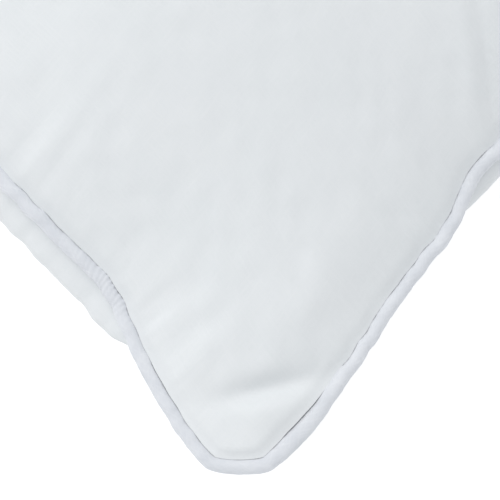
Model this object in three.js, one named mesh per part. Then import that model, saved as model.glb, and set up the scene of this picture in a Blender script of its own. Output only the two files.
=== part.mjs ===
// Bed pillow: a filled cotton casing with a piped edge, lying on its back panel.
// Millimetres, +Z up, origin on the resting face under the pillow's centre,
// +X along the pillow's length.

import * as THREE from "three";
import { LoftGeometry } from "three/addons/geometries/LoftGeometry.js";

// ---- Driving sizes: the filled casing -------------------------------------

const length = 640; // seam to seam, measured over the corners
const width = 490; // seam to seam, measured over the corners
const thickness = 158; // resting face to the top of the crown
const seamHeight = 74; // resting face to the plane of the seam
const cornerRadius = 25; // of the seam line
const endDrawIn = 20; // how far filling pulls in the middle of a short side
const sideDrawIn = 20; // how far filling pulls in the middle of a long side
const earSharpness = 4; // how close to the corners the sides are pulled in
const bottomBulge = 92; // depth the bottom panel would have, were it not resting
const crownPower = 2.2; // how flat the crown's middle is
const crownFullness = 0.6; // how steeply the crown rises from the seam

// ---- Driving sizes: cloth, piping and threads ------------------------------

const clothThickness = 0.8;
const seamAllowance = 10; // cloth turned in behind the seam
const stripThickness = 0.5; // the bias strip that covers the cord
const stripFoldGap = 0.3; // between the two layers of the folded strip
const pipingDiameter = 6;
const threadDiameter = 0.6;
const stitchInset = 4; // seam line to the row of stitches
const overlockToStitch = 1.4; // the overlock's front edge to the seam thread
const overlockThickness = 0.5;
const openingSegments = 3; // seam segments of a short side left open for filling
const ditchOut = 0.2; // closing thread's place in the ditch beside the piping
const ditchUp = 1.6;

// ---- Driving sizes: care label ----------------------------------------------

const labelWidth = 36;
const labelLength = 48; // the folded loop, from the seam to its fold
const labelLayer = 0.3;
const labelLayerGap = 0.3;
const labelLeanDegrees = 10; // it leans out, off the swell of the bottom panel

// ---- Clearances and mesh steps ----------------------------------------------

const clearance = 0.3; // between pieces that touch in the real pillow
const fillClearance = 1; // between the fill and the casing
const fillEdgeGap = 1.5; // between the fill's edge and the overlocked allowance
const sideSteps = 8;
const cornerSteps = 5;
const crownShares = [0.14, 0.4, 0.62, 0.79, 0.91]; // crown rings, as shares of the way out
const roundSides = 8;
const threadSides = 6;
const foldSides = 6;

// ---- Sizes that follow from them --------------------------------------------

const halfLength = length / 2;
const halfWidth = width / 2;
const pipingRadius = pipingDiameter / 2;
const coverInnerRadius = pipingRadius - stripThickness;
const cordRadius = coverInnerRadius - clearance;
const flangeHalf = stripFoldGap / 2 + stripThickness;
const hemNear = flangeHalf + clearance; // allowance's face towards the flange
const hemFar = hemNear + clothThickness; // allowance's face towards the fill
const overStitches = hemFar + clearance + overlockThickness + clearance;
const topRise = thickness - seamHeight - hemFar;
const bottomDrop = bottomBulge - hemFar;
const fillInset = clothThickness + fillClearance;
const fillEdgeInset = seamAllowance + clearance + overlockThickness + fillEdgeGap;

// ---- Seam line ----------------------------------------------------------------

// How far the casing reaches from its centre line: the full half size at a corner,
// less the draw-in along the middle of the side, so that each corner is an ear.
function reach(halfSize, drawIn, share) {
  return halfSize - drawIn * (1 - Math.abs(share) ** earSharpness);
}

function reachX(y) {
  return reach(halfLength, endDrawIn, y / halfWidth);
}

function reachY(x) {
  return reach(halfWidth, sideDrawIn, x / halfLength);
}

// A point of the flat rounded rectangle, moved to where filling draws it in.
function drawnIn(x, y) {
  return new THREE.Vector2(
    (x * reachX(y)) / halfLength,
    (y * reachY(x)) / halfWidth,
  );
}

// The seam line, counterclockwise: each corner's arc, then the side after it.
function seamPoints() {
  const points = [];
  const centreX = halfLength - cornerRadius;
  const centreY = halfWidth - cornerRadius;
  const signs = [[1, 1], [-1, 1], [-1, -1], [1, -1]];
  signs.forEach(([signX, signY], corner) => {
    for (let step = 0; step <= cornerSteps; step++) {
      const angle = (corner + step / cornerSteps) * (Math.PI / 2);
      const x = signX * centreX + cornerRadius * Math.cos(angle);
      const y = signY * centreY + cornerRadius * Math.sin(angle);
      points.push(drawnIn(x, y));
    }
    const [nextX, nextY] = signs[(corner + 1) % signs.length];
    const outX = nextX === signX ? signX * cornerRadius : 0;
    const outY = nextY === signY ? signY * cornerRadius : 0;
    for (let step = 1; step < sideSteps; step++) {
      const share = step / sideSteps;
      const x = THREE.MathUtils.lerp(signX, nextX, share) * centreX + outX;
      const y = THREE.MathUtils.lerp(signY, nextY, share) * centreY + outY;
      points.push(drawnIn(x, y));
    }
  });
  return points;
}

// Each seam point with the direction that points out of the pillow, in plan.
const seam = seamPoints().map((point, index, all) => {
  const before = all.at(index - 1);
  const after = all[(index + 1) % all.length];
  const along = after.clone().sub(before).normalize();
  return { point, outward: new THREE.Vector2(along.y, -along.x) };
});

// A seam point moved out by a distance (inwards if negative), at a height.
function besideSeam({ point, outward }, out, z) {
  return new THREE.Vector3(point.x + outward.x * out, point.y + outward.y * out, z);
}

// ---- Crown of the filled casing -------------------------------------------------

// Share of the full crown height over a plan point: none on the seam, all of it in
// the middle, and low in the corners. The inset shrinks the crown for inner layers.
function crownAt(x, y, inset) {
  const shareX = Math.max(0, 1 - Math.abs(x / (reachX(y) - inset)) ** crownPower);
  const shareY = Math.max(0, 1 - Math.abs(y / (reachY(x) - inset)) ** crownPower);
  return (shareX * shareY) ** crownFullness;
}

// Least height from the seam plane of a layer that passes over the stitched edges.
function leastRise(inset) {
  return overStitches + clothThickness - inset;
}

// Height of the top panel, or of a layer lying an inset inside it.
function topHeight(x, y, inset) {
  const rise = hemFar + (topRise - inset) * crownAt(x, y, inset);
  return seamHeight + Math.max(leastRise(inset), rise);
}

// Height of the bottom panel, or of a layer inside it, flat where it rests.
function bottomHeight(x, y, inset) {
  const drop = hemFar + (bottomDrop - inset) * crownAt(x, y, inset);
  return Math.max(inset, seamHeight - Math.max(leastRise(inset), drop));
}

// A plan point lifted on to a crown.
function onCrown(rim, inset, heightAt) {
  return rim.setZ(heightAt(rim.x, rim.y, inset));
}

// The rings of a crown, from the centre out: first the seam line shrunk by shares,
// then rings at the fill's edge and over the stitches, fixed distances from the seam.
function crownOf(inset, heightAt) {
  const shrunk = crownShares.map((share) =>
    seam.map((place) => {
      const rim = besideSeam(place, -inset, 0).multiplyScalar(share);
      return onCrown(rim, inset, heightAt);
    }),
  );
  const beside = [fillEdgeInset, stitchInset].map((distance) =>
    seam.map((place) => onCrown(besideSeam(place, -distance, 0), inset, heightAt)),
  );
  return [...shrunk, ...beside];
}

// One ring that runs beside the seam at a fixed distance and height.
function rimRing(out, z) {
  return seam.map((place) => besideSeam(place, out, z));
}

// ---- Makers ------------------------------------------------------------------------

function piece(name, geometry, finish) {
  const mesh = new THREE.Mesh(geometry, new THREE.MeshStandardMaterial(finish));
  mesh.name = name;
  return mesh;
}

// A closed skin over rings of points, with a fan of triangles over each end ring.
// Each square between two rings is split the same way whether the skin runs outwards
// or back, so that layers lying on each other have matching facets.
function ringSolid(rings) {
  const count = rings[0].length;
  const last = (rings.length - 1) * count;
  const points = rings.flat();
  const faces = [];
  for (let index = 0; index < count; index++) {
    const next = (index + 1) % count;
    faces.push(points.length, next, index);
    faces.push(points.length + 1, last + index, last + next);
    for (let start = 0; start < last; start += count) {
      const [a, b] = [start + index, start + next];
      const [c, d] = [b + count, a + count];
      const runsOut = planRadius(points[d]) > planRadius(points[a]);
      faces.push(...(runsOut ? [a, b, d, b, c, d] : [a, b, c, a, c, d]));
    }
  }
  points.push(middleOf(rings[0]), middleOf(rings.at(-1)));
  const geometry = new THREE.BufferGeometry().setFromPoints(points);
  geometry.setIndex(faces);
  geometry.computeVertexNormals();
  return geometry;
}

function planRadius({ x, y }) {
  return Math.hypot(x, y);
}

function middleOf(ring) {
  const sum = ring.reduce((total, point) => total.add(point), new THREE.Vector3());
  return sum.divideScalar(ring.length);
}

// A section of [out, up] points, clockwise, carried right round the seam.
function aroundSeam(section) {
  const sections = seam.map((place) =>
    section.map(([out, up]) => besideSeam(place, out, seamHeight + up)),
  );
  return new LoftGeometry([...sections, sections[0]]);
}

// Points of an arc about a centre on the seam plane, from one angle to another.
function arc(centreOut, radius, from, to, sides) {
  return Array.from({ length: sides + 1 }, (_, step) => {
    const angle = THREE.MathUtils.lerp(from, to, step / sides);
    return [centreOut + radius * Math.cos(angle), radius * Math.sin(angle)];
  });
}

// A full circle, clockwise, about a point beside the seam.
function circle(centreOut, centreUp, radius, sides) {
  return Array.from({ length: sides }, (_, step) => {
    const angle = (-2 * Math.PI * step) / sides;
    return [centreOut + radius * Math.cos(angle), centreUp + radius * Math.sin(angle)];
  });
}

// ---- Finishes ------------------------------------------------------------------------

const cotton = { color: 0xe4e8ec, roughness: 0.9, metalness: 0 };
const bias = { color: 0xdee3ec, roughness: 0.9, metalness: 0 };
const twine = { color: 0xe8e4da, roughness: 0.95, metalness: 0 };
const thread = { color: 0xf0f1f3, roughness: 0.7, metalness: 0 };
const down = { color: 0xf2efe9, roughness: 1, metalness: 0 };
const ribbon = { color: 0xf4f4f2, roughness: 0.6, metalness: 0 };

// ---- Sub-parts --------------------------------------------------------------------------

// Top panel: its crown, the fold at the seam and the allowance turned in behind it.
function makeTopPanel() {
  const rings = [
    ...crownOf(clothThickness, topHeight),
    rimRing(-clothThickness, seamHeight + hemFar),
    rimRing(-seamAllowance, seamHeight + hemFar),
    rimRing(-seamAllowance, seamHeight + hemNear),
    rimRing(0, seamHeight + hemNear),
    ...crownOf(0, topHeight).reverse(),
  ];
  return piece("top_panel", ringSolid(rings), cotton);
}

// Bottom panel: the same, hanging below the seam and flat where the pillow rests.
function makeBottomPanel() {
  const rings = [
    ...crownOf(0, bottomHeight),
    rimRing(0, seamHeight - hemNear),
    rimRing(-seamAllowance, seamHeight - hemNear),
    rimRing(-seamAllowance, seamHeight - hemFar),
    rimRing(-clothThickness, seamHeight - hemFar),
    ...crownOf(clothThickness, bottomHeight).reverse(),
  ];
  return piece("bottom_panel", ringSolid(rings), cotton);
}

// Piping cover: a bias strip folded round the cord, with both its layers running
// back between the panels' allowances. It stays open between those layers.
function makePipingCover() {
  const outerMeet = Math.asin(flangeHalf / pipingRadius);
  const innerMeet = Math.asin(stripFoldGap / 2 / coverInnerRadius);
  const outside = arc(
    pipingRadius, pipingRadius, Math.PI - outerMeet, outerMeet - Math.PI, roundSides,
  );
  const inside = arc(
    pipingRadius, coverInnerRadius, innerMeet - Math.PI, Math.PI - innerMeet, roundSides,
  );
  const section = [
    [-seamAllowance, flangeHalf],
    ...outside,
    [-seamAllowance, -flangeHalf],
    [-seamAllowance, -stripFoldGap / 2],
    ...inside,
    [-seamAllowance, stripFoldGap / 2],
  ];
  return piece("piping_cover", aroundSeam(section), bias);
}

// Piping cord: the soft twine that the cover is folded round.
function makePipingCord() {
  const section = circle(pipingRadius, 0, cordRadius, roundSides);
  return piece("piping_cord", aroundSeam(section), twine);
}

// One thread of the lockstitch, lying on an allowance: above it or below it.
function makeSeamThread(name, side) {
  const up = side * (hemFar + clearance + threadDiameter / 2);
  const section = circle(-stitchInset, up, threadDiameter / 2, threadSides);
  return piece(name, aroundSeam(section), thread);
}

// Overlock thread: wraps the raw edges of both allowances and the strip.
function makeOverlockThread() {
  const near = hemFar + clearance;
  const far = near + overlockThickness;
  const edge = -(seamAllowance + clearance);
  const back = edge - overlockThickness;
  const front = -(stitchInset + threadDiameter / 2 + overlockToStitch);
  const section = [
    [back, far],
    [front, far],
    [front, near],
    [edge, near],
    [edge, -near],
    [front, -near],
    [front, -far],
    [back, -far],
  ];
  return piece("overlock_thread", aroundSeam(section), thread);
}

// Closing thread: the slip stitch that closes the filling opening. It lies in the
// ditch above the piping, at the far end of the short side at -X.
function makeClosingThread() {
  const up = seamHeight + hemNear + ditchUp;
  const cornerPoints = cornerSteps + sideSteps;
  const last = 2 * cornerPoints;
  const run = seam.slice(last - openingSegments, last + 1);
  const sections = run.map((place) =>
    circle(ditchOut, 0, threadDiameter / 2, threadSides).map(([out, rise]) =>
      besideSeam(place, out, up + rise),
    ),
  );
  return piece("closing_thread", ringSolid(sections), thread);
}

// Fill: the body of down and feather, shaped by the casing that holds it. Its edge
// stops short of the overlocked allowances.
function makeFill() {
  const rings = [
    ...crownOf(fillInset, bottomHeight).slice(0, -1),
    ...crownOf(fillInset, topHeight).slice(0, -1).reverse(),
  ];
  return piece("fill", ringSolid(rings), down);
}

// Care label: a folded loop of ribbon whose ends are sewn into the seam under the
// piping at -X. Drawn from the side, fold down, then stood against the pillow.
function makeCareLabel() {
  const inner = labelLayerGap / 2;
  const outer = inner + labelLayer;
  const foldCentre = outer - labelLength;
  const outline = new THREE.Shape();
  outline.moveTo(outer, 0);
  outline.lineTo(inner, 0);
  outline.lineTo(inner, foldCentre);
  outline.absarc(0, foldCentre, inner, 0, Math.PI, true);
  outline.lineTo(-inner, 0);
  outline.lineTo(-outer, 0);
  outline.lineTo(-outer, foldCentre);
  outline.absarc(0, foldCentre, outer, Math.PI, 2 * Math.PI, false);
  outline.closePath();
  const geometry = new THREE.ExtrudeGeometry(outline, {
    depth: labelWidth,
    bevelEnabled: false,
    curveSegments: foldSides,
  });
  geometry.rotateX(Math.PI / 2);
  geometry.translate(0, labelWidth / 2, 0);
  const label = piece("care_label", geometry, ribbon);
  label.rotation.y = THREE.MathUtils.degToRad(labelLeanDegrees);
  label.position.set(
    endDrawIn - halfLength - pipingRadius,
    0,
    seamHeight - pipingRadius - clearance - outer,
  );
  return label;
}

// ---- The pillow -----------------------------------------------------------------------------

const pillow = new THREE.Group();
pillow.add(
  makeTopPanel(),
  makeBottomPanel(),
  makePipingCover(),
  makePipingCord(),
  makeSeamThread("needle_thread", 1),
  makeSeamThread("bobbin_thread", -1),
  makeOverlockThread(),
  makeClosingThread(),
  makeFill(),
  makeCareLabel(),
);

export default pillow;
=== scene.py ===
"""A piped bed pillow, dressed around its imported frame.

The casing's two cotton panels are inflated by cloth simulation inside a seam whose line
is worked out from the frame. The piping, its cord, the threads, the fill and the care
label all follow that same seam line. Lengths are metres.
"""

import logging
import math
from collections.abc import Sequence
from dataclasses import dataclass, field, replace
from enum import Enum

import bpy
import numpy as np
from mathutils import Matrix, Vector


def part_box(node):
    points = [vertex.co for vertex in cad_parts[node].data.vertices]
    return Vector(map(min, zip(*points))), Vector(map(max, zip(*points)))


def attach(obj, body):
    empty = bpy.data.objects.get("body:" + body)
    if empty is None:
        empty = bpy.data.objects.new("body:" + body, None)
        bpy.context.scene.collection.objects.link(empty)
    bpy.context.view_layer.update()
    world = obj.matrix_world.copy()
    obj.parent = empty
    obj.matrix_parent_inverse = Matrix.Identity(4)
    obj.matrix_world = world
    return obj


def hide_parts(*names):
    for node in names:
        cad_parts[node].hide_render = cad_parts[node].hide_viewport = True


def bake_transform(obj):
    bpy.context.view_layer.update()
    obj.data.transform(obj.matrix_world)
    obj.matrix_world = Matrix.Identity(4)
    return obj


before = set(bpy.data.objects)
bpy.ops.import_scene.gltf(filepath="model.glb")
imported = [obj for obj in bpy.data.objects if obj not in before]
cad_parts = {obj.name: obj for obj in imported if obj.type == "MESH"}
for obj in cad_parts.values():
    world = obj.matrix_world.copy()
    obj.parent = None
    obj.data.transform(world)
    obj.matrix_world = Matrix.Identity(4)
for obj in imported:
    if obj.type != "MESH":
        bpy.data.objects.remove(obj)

LOG = logging.getLogger("pillow")
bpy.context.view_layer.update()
MM = 0.001
TAU = 2 * math.pi
PILLOW_BODY = "pillow"

Array = np.ndarray
Tone = tuple[float, float, float]
UP = np.array([0.0, 0.0, 1.0])


class Side(Enum):
    """The two faces of the casing, with the sign of their rise from the seam."""

    TOP = 1
    BOTTOM = -1


# ---- Arithmetic on whole arrays ---------------------------------------------------------


def smoothstep(share: Array | float) -> Array | float:
    """Rise smoothly from 0 to 1: three times the share squared, less twice its cube.

    Args:
        share: The way along the rise, clipped to 0 and 1.

    Returns:
        The height of the rise, from 0 to 1.
    """
    share = np.clip(share, 0.0, 1.0)
    return share * share * (3 - 2 * share)


def bell(distance: Array, spread: float) -> Array:
    """The bell curve: e to the minus half of the squared distance over the spread."""
    return np.exp(-0.5 * (distance / spread) ** 2)


def unit(vectors: Array) -> Array:
    """Each vector divided by its length."""
    length = np.linalg.norm(vectors, axis=-1, keepdims=True)
    return vectors / np.maximum(length, 1e-12)


def ripple(along: Array, pitch: float, seed: float) -> Array:
    """An uneven ripple, from -1 to 1: three sines whose pitches never fall in step.

    Args:
        along: Distance along the cloth.
        pitch: The main sine's length.
        seed: Shifts the sines, so that no two ripples are alike.

    Returns:
        The ripple's height at each distance.
    """
    turn = TAU * along / pitch
    slow = np.sin(0.37 * turn + 2.3 * seed)
    main = np.sin(turn + 1.9 * slow + seed)
    quick = np.sin(1.73 * turn + 5.1 * seed)
    return 0.6 * main + 0.25 * quick + 0.15 * slow


def graded(side: float, coarse: float, fine_start: float, fine_end: float, reach: float) -> Array:
    """Steps from -1 to 1 whose size is finer near the ends, by a smooth step of the way.

    The density of steps is one over their size, and the steps divide its running total
    evenly.

    Args:
        side: The real length that the steps cover.
        coarse: The size of a step far from the ends.
        fine_start: The size of a step at -1.
        fine_end: The size of a step at 1.
        reach: How far from an end its steps stay fine. They coarsen over as much again.

    Returns:
        The steps, rising, with exactly -1 and 1 at the ends.
    """
    samples = 8000
    place = np.linspace(0, side, samples + 1)
    from_start = smoothstep((place - reach) / reach)
    from_end = smoothstep((side - place - reach) / reach)
    size = np.minimum(
        fine_start + (coarse - fine_start) * from_start, fine_end + (coarse - fine_end) * from_end
    )
    total = np.concatenate([[0], np.cumsum(1 / size[1:] + 1 / size[:-1])])
    count = round(side / samples * total[-1] / 2)
    return np.interp(np.linspace(0, total[-1], count + 1), total, place) / side * 2 - 1


def spline_weights(knots: int, places: Array) -> Array:
    """Weights that interpolate evenly spaced knots from -1 to 1 by Catmull-Rom cubics.

    Args:
        knots: How many knots there are.
        places: Where to interpolate, from -1 to 1.

    Returns:
        A matrix with a row for each place and a column for each knot.
    """
    at = (np.clip(places, -1, 1) + 1) / 2 * (knots - 1)
    cell = np.minimum(at.astype(int), knots - 2)
    t = at - cell
    cubics = [
        -0.5 * t + t**2 - 0.5 * t**3,
        1 - 2.5 * t**2 + 1.5 * t**3,
        0.5 * t + 2 * t**2 - 1.5 * t**3,
        -0.5 * t**2 + 0.5 * t**3,
    ]
    weights = np.zeros((len(places), knots))
    rows = np.arange(len(places))
    for shift, cubic in zip((-1, 0, 1, 2), cubics):
        np.add.at(weights, (rows, np.clip(cell + shift, 0, knots - 1)), cubic)
    return weights


# ---- Meshes ------------------------------------------------------------------------------


def grid_faces(index: Array, flip: bool = False) -> Array:
    """Squares between neighbours of a grid of vertex numbers.

    Args:
        index: The vertex numbers, in rows and columns.
        flip: Turns the squares to face the other way.

    Returns:
        Four vertex numbers for each square.
    """
    corners = [index[:-1, :-1], index[1:, :-1], index[1:, 1:], index[:-1, 1:]]
    faces = np.stack(corners, -1).reshape(-1, 4)
    return faces[:, ::-1] if flip else faces


def make_mesh(name: str, points: Array, faces: Array, uv: Array | None = None) -> bpy.types.Object:
    """Put a surface of squares into a new smooth-shaded object at the origin.

    Args:
        name: The object's name.
        points: One place for each vertex.
        faces: Four vertex numbers for each square.
        uv: Cloth coordinates of each vertex, if the finish follows the cloth.

    Returns:
        The new object, linked to the scene.
    """
    mesh = bpy.data.meshes.new(name)
    mesh.vertices.add(len(points))
    mesh.vertices.foreach_set("co", points.astype(np.float32).ravel())
    mesh.loops.add(faces.size)
    mesh.loops.foreach_set("vertex_index", faces.astype(np.int32).ravel())
    mesh.polygons.add(len(faces))
    mesh.polygons.foreach_set("loop_start", np.arange(0, faces.size, 4, dtype=np.int32))
    mesh.polygons.foreach_set("use_smooth", np.ones(len(faces), bool))
    mesh.update(calc_edges=True)
    mesh.validate()
    if uv is not None:
        layer = mesh.uv_layers.new(name="cloth")
        layer.uv.foreach_set("vector", uv[faces.ravel()].astype(np.float32).ravel())
    obj = bpy.data.objects.new(name, mesh)
    bpy.context.scene.collection.objects.link(obj)
    return obj


def tube_faces(rows: int, sides: int) -> Array:
    """Squares of a tube that is closed both round its section and end to end."""
    index = np.arange(rows * sides).reshape(rows, sides)
    index = np.concatenate([index, index[:1]], 0)
    return grid_faces(np.concatenate([index, index[:, :1]], 1))


def closed_tube(path: Array, across: Array, up: Array, radius: Array | float, sides: int) -> Array:
    """Points of a tube: a circle in the plane of two directions, carried along a path.

    Args:
        path: The centre line, one point for each row.
        across: The circle's first direction at each point.
        up: The circle's second direction at each point.
        radius: The circle's radius, the same everywhere or one for each row and side.
        sides: How many points are on the circle.

    Returns:
        The points, row by row.
    """
    angle = np.linspace(0, TAU, sides, endpoint=False)
    ring = np.cos(angle)[None, :, None] * across[:, None] + np.sin(angle)[None, :, None] * up[:, None]
    thick = np.broadcast_to(radius, (len(path), sides))[..., None]
    return (path[:, None] + ring * thick).reshape(-1, 3)


def thicken(obj: bpy.types.Object, thickness: float, offset: float) -> None:
    """Give a sheet its thickness with a Solidify modifier.

    Args:
        obj: The sheet.
        thickness: The cloth's thickness.
        offset: -1 to grow behind the faces, 0 for both ways.
    """
    solid = obj.modifiers.new("thickness", "SOLIDIFY")
    solid.thickness = thickness
    solid.offset = offset
    solid.use_even_offset = False


def settle(piece: bpy.types.Object, material: bpy.types.Material, node: str) -> None:
    """Give a piece its finish, let it ride the pillow and stand for a node of the frame."""
    piece.data.materials.append(material)
    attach(piece, PILLOW_BODY)
    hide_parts(node)


# ---- Finishes -----------------------------------------------------------------------------


class Nodes:
    """A short way to build a material's node tree."""

    def __init__(self, name: str) -> None:
        """Start a material with an empty tree but for its Principled shader and output."""
        self.material = bpy.data.materials.new(name)
        self.material.use_nodes = True
        self.tree = self.material.node_tree
        self.shader = self.tree.nodes["Principled BSDF"]

    def add(
        self, kind: str, inputs: dict[str, object] | None = None, **settings: object
    ) -> bpy.types.Node:
        """Add a node.

        Args:
            kind: The node's type, without its ShaderNode prefix.
            inputs: Values or output sockets for its inputs, by name.
            settings: Values for its own properties.

        Returns:
            The new node.
        """
        node = self.tree.nodes.new("ShaderNode" + kind)
        for key, value in settings.items():
            setattr(node, key, value)
        for key, value in (inputs or {}).items():
            self.put(node.inputs[key], value)
        return node

    def put(self, socket: bpy.types.NodeSocket, value: object) -> None:
        """Link an output to an input, or set the input to a value."""
        if isinstance(value, bpy.types.NodeSocket):
            self.tree.links.new(value, socket)
        else:
            socket.default_value = value

    def maths(self, operation: str, first: object, second: object = 0.0) -> bpy.types.NodeSocket:
        """The result of a Math node on two values or sockets."""
        node = self.add("Math", operation=operation)
        self.put(node.inputs[0], first)
        self.put(node.inputs[1], second)
        return node.outputs[0]

    def noise(
        self, vector: object, scale: float, detail: float, stretch: Sequence[float] = (1, 1, 1)
    ) -> bpy.types.NodeSocket:
        """A noise pattern on coordinates that are first stretched along their axes.

        Args:
            vector: The coordinates' socket.
            scale: How many features there are in a metre.
            detail: How many finer layers it has.
            stretch: The scale's share on each axis.

        Returns:
            The pattern's value socket, about 0.5 on average.
        """
        mapping = self.add("Mapping", {"Vector": vector, "Scale": stretch})
        node = self.add("TexNoise", {"Vector": mapping.outputs[0], "Scale": scale, "Detail": detail})
        return node.outputs["Fac"]

    def bump(
        self, height: object, distance: float, strength: float, below: object = None
    ) -> bpy.types.NodeSocket:
        """A normal bent by a height pattern.

        Args:
            height: The pattern's socket.
            distance: The pattern's real height in metres.
            strength: How much of it shows.
            below: The normal that it adds to, if any.

        Returns:
            The bent normal's socket.
        """
        node = self.add("Bump", {"Height": height, "Distance": distance, "Strength": strength})
        if below is not None:
            self.put(node.inputs["Normal"], below)
        return node.outputs["Normal"]

    def ramp(self, share: object, low: Tone, high: Tone, between: tuple[float, float]) -> None:
        """Colour the shader by a pattern, from a low tone to a high one.

        Args:
            share: The pattern's socket.
            low: The colour where the pattern is low.
            high: The colour where it is high.
            between: The pattern's values where the two colours are reached.
        """
        node = self.add("ValToRGB", {"Fac": share})
        for element, place, colour in zip(node.color_ramp.elements, between, (low, high)):
            element.position = place
            element.color = (*colour, 1)
        self.put(self.shader.inputs["Base Color"], node.outputs["Color"])


@dataclass(frozen=True)
class CottonFinish:
    """Plain-woven cotton: warp and weft ribs, slubs, soft crumple and an uneven tone."""

    name: str
    colour: Tone
    shade: Tone
    roughness: float = 0.86
    sheen: float = 0.25
    thread_pitch: float = 0.42 * MM
    rib_height: float = 0.035 * MM
    slub_height: float = 0.10 * MM
    slub_scale: float = 900.0
    slub_thinness: float = 0.09
    slub_share: float = 0.45
    crumple_height: float = 0.30 * MM
    crumple_scale: float = 95.0
    tone_scale: float = 14.0
    tone_range: tuple[float, float] = (0.30, 0.68)
    bias: bool = False

    def material(self) -> bpy.types.Material:
        """The finish's material, on the piece's own cloth coordinates in metres."""
        nodes = Nodes(self.name)
        cloth = nodes.add("UVMap", uv_map="cloth").outputs["UV"]
        if self.bias:
            turned = nodes.add("Mapping", {"Vector": cloth, "Rotation": (0, 0, math.pi / 4)})
            cloth = turned.outputs[0]
        place = nodes.add("TexCoord").outputs["Object"]
        warp = nodes.noise(cloth, self.slub_scale, 2, (1, self.slub_thinness, 1))
        weft = nodes.noise(cloth, self.slub_scale, 2, (self.slub_thinness, 1, 1))
        slubs = nodes.maths("MAXIMUM", warp, weft)
        ribs = self._ribs(nodes, cloth)
        crumple = nodes.noise(place, self.crumple_scale, 3)
        tone = nodes.maths("MULTIPLY", nodes.noise(place, self.tone_scale, 3), 1 - self.slub_share)
        tone = nodes.maths("ADD", tone, nodes.maths("MULTIPLY", slubs, self.slub_share))
        nodes.ramp(tone, self.shade, self.colour, self.tone_range)
        normal = nodes.bump(crumple, self.crumple_height, 0.5)
        normal = nodes.bump(slubs, self.slub_height, 0.6, normal)
        normal = nodes.bump(ribs, self.rib_height, 0.7, normal)
        nodes.put(nodes.shader.inputs["Normal"], normal)
        rough = nodes.maths("MULTIPLY_ADD", slubs, 0.10)
        rough.node.inputs[2].default_value = self.roughness - 0.05
        nodes.put(nodes.shader.inputs["Roughness"], rough)
        nodes.shader.inputs["Specular IOR Level"].default_value = 0.25
        nodes.shader.inputs["Sheen Weight"].default_value = self.sheen
        nodes.shader.inputs["Sheen Roughness"].default_value = 0.45
        return nodes.material

    def _ribs(self, nodes: Nodes, cloth: bpy.types.NodeSocket) -> bpy.types.NodeSocket:
        """The weave: the product of a sine across the warp and one across the weft."""
        split = nodes.add("SeparateXYZ", {"Vector": cloth})
        turns = TAU / self.thread_pitch
        warp = nodes.maths("SINE", nodes.maths("MULTIPLY", split.outputs["X"], turns))
        weft = nodes.maths("SINE", nodes.maths("MULTIPLY", split.outputs["Y"], turns))
        return nodes.maths("MULTIPLY", warp, weft)


@dataclass(frozen=True)
class FibreFinish:
    """Spun thread, twine or loose fill: a matt fibrous surface with a grain."""

    name: str
    colour: Tone
    shade: Tone
    grain: float
    height: float
    roughness: float = 0.8
    sheen: float = 0.3
    tone_range: tuple[float, float] = (0.35, 0.62)

    def material(self) -> bpy.types.Material:
        """The finish's material, on the object's coordinates."""
        nodes = Nodes(self.name)
        place = nodes.add("TexCoord").outputs["Object"]
        fibre = nodes.noise(place, self.grain, 4)
        nodes.ramp(fibre, self.shade, self.colour, self.tone_range)
        nodes.put(nodes.shader.inputs["Normal"], nodes.bump(fibre, self.height, 0.6))
        nodes.shader.inputs["Roughness"].default_value = self.roughness
        nodes.shader.inputs["Specular IOR Level"].default_value = 0.3
        nodes.shader.inputs["Sheen Weight"].default_value = self.sheen
        return nodes.material


CASING_COTTON = CottonFinish("casing_cotton", (0.79, 0.81, 0.825), (0.745, 0.775, 0.79))
PIPING_COTTON = CottonFinish(
    "piping_cotton", (0.765, 0.785, 0.82), (0.665, 0.69, 0.735),
    crumple_height=0.5 * MM, tone_scale=150.0, bias=True,
)
TWINE = FibreFinish("twine", (0.78, 0.75, 0.67), (0.62, 0.58, 0.5), 1400, 0.2 * MM)
SEWING_THREAD = FibreFinish("sewing_thread", (0.86, 0.87, 0.88), (0.72, 0.73, 0.75), 2600, 0.08 * MM, 0.6)
DOWN = FibreFinish("down", (0.86, 0.85, 0.81), (0.7, 0.68, 0.63), 260, 2 * MM, 0.95, 0.6)
RIBBON = CottonFinish(
    "label_ribbon", (0.80, 0.80, 0.79), (0.74, 0.74, 0.73),
    roughness=0.5, sheen=0.1, thread_pitch=0.3 * MM, crumple_height=0.05 * MM,
)


# ---- The seam --------------------------------------------------------------------------------


@dataclass(frozen=True)
class Step:
    """A smooth step along a seam, as when the filling starts to pull a side in."""

    start: float
    run: float
    size: float

    def at(self, distance: Array) -> Array:
        """The step's height at a distance from the corner."""
        return self.size * smoothstep((distance - self.start) / self.run)


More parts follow.
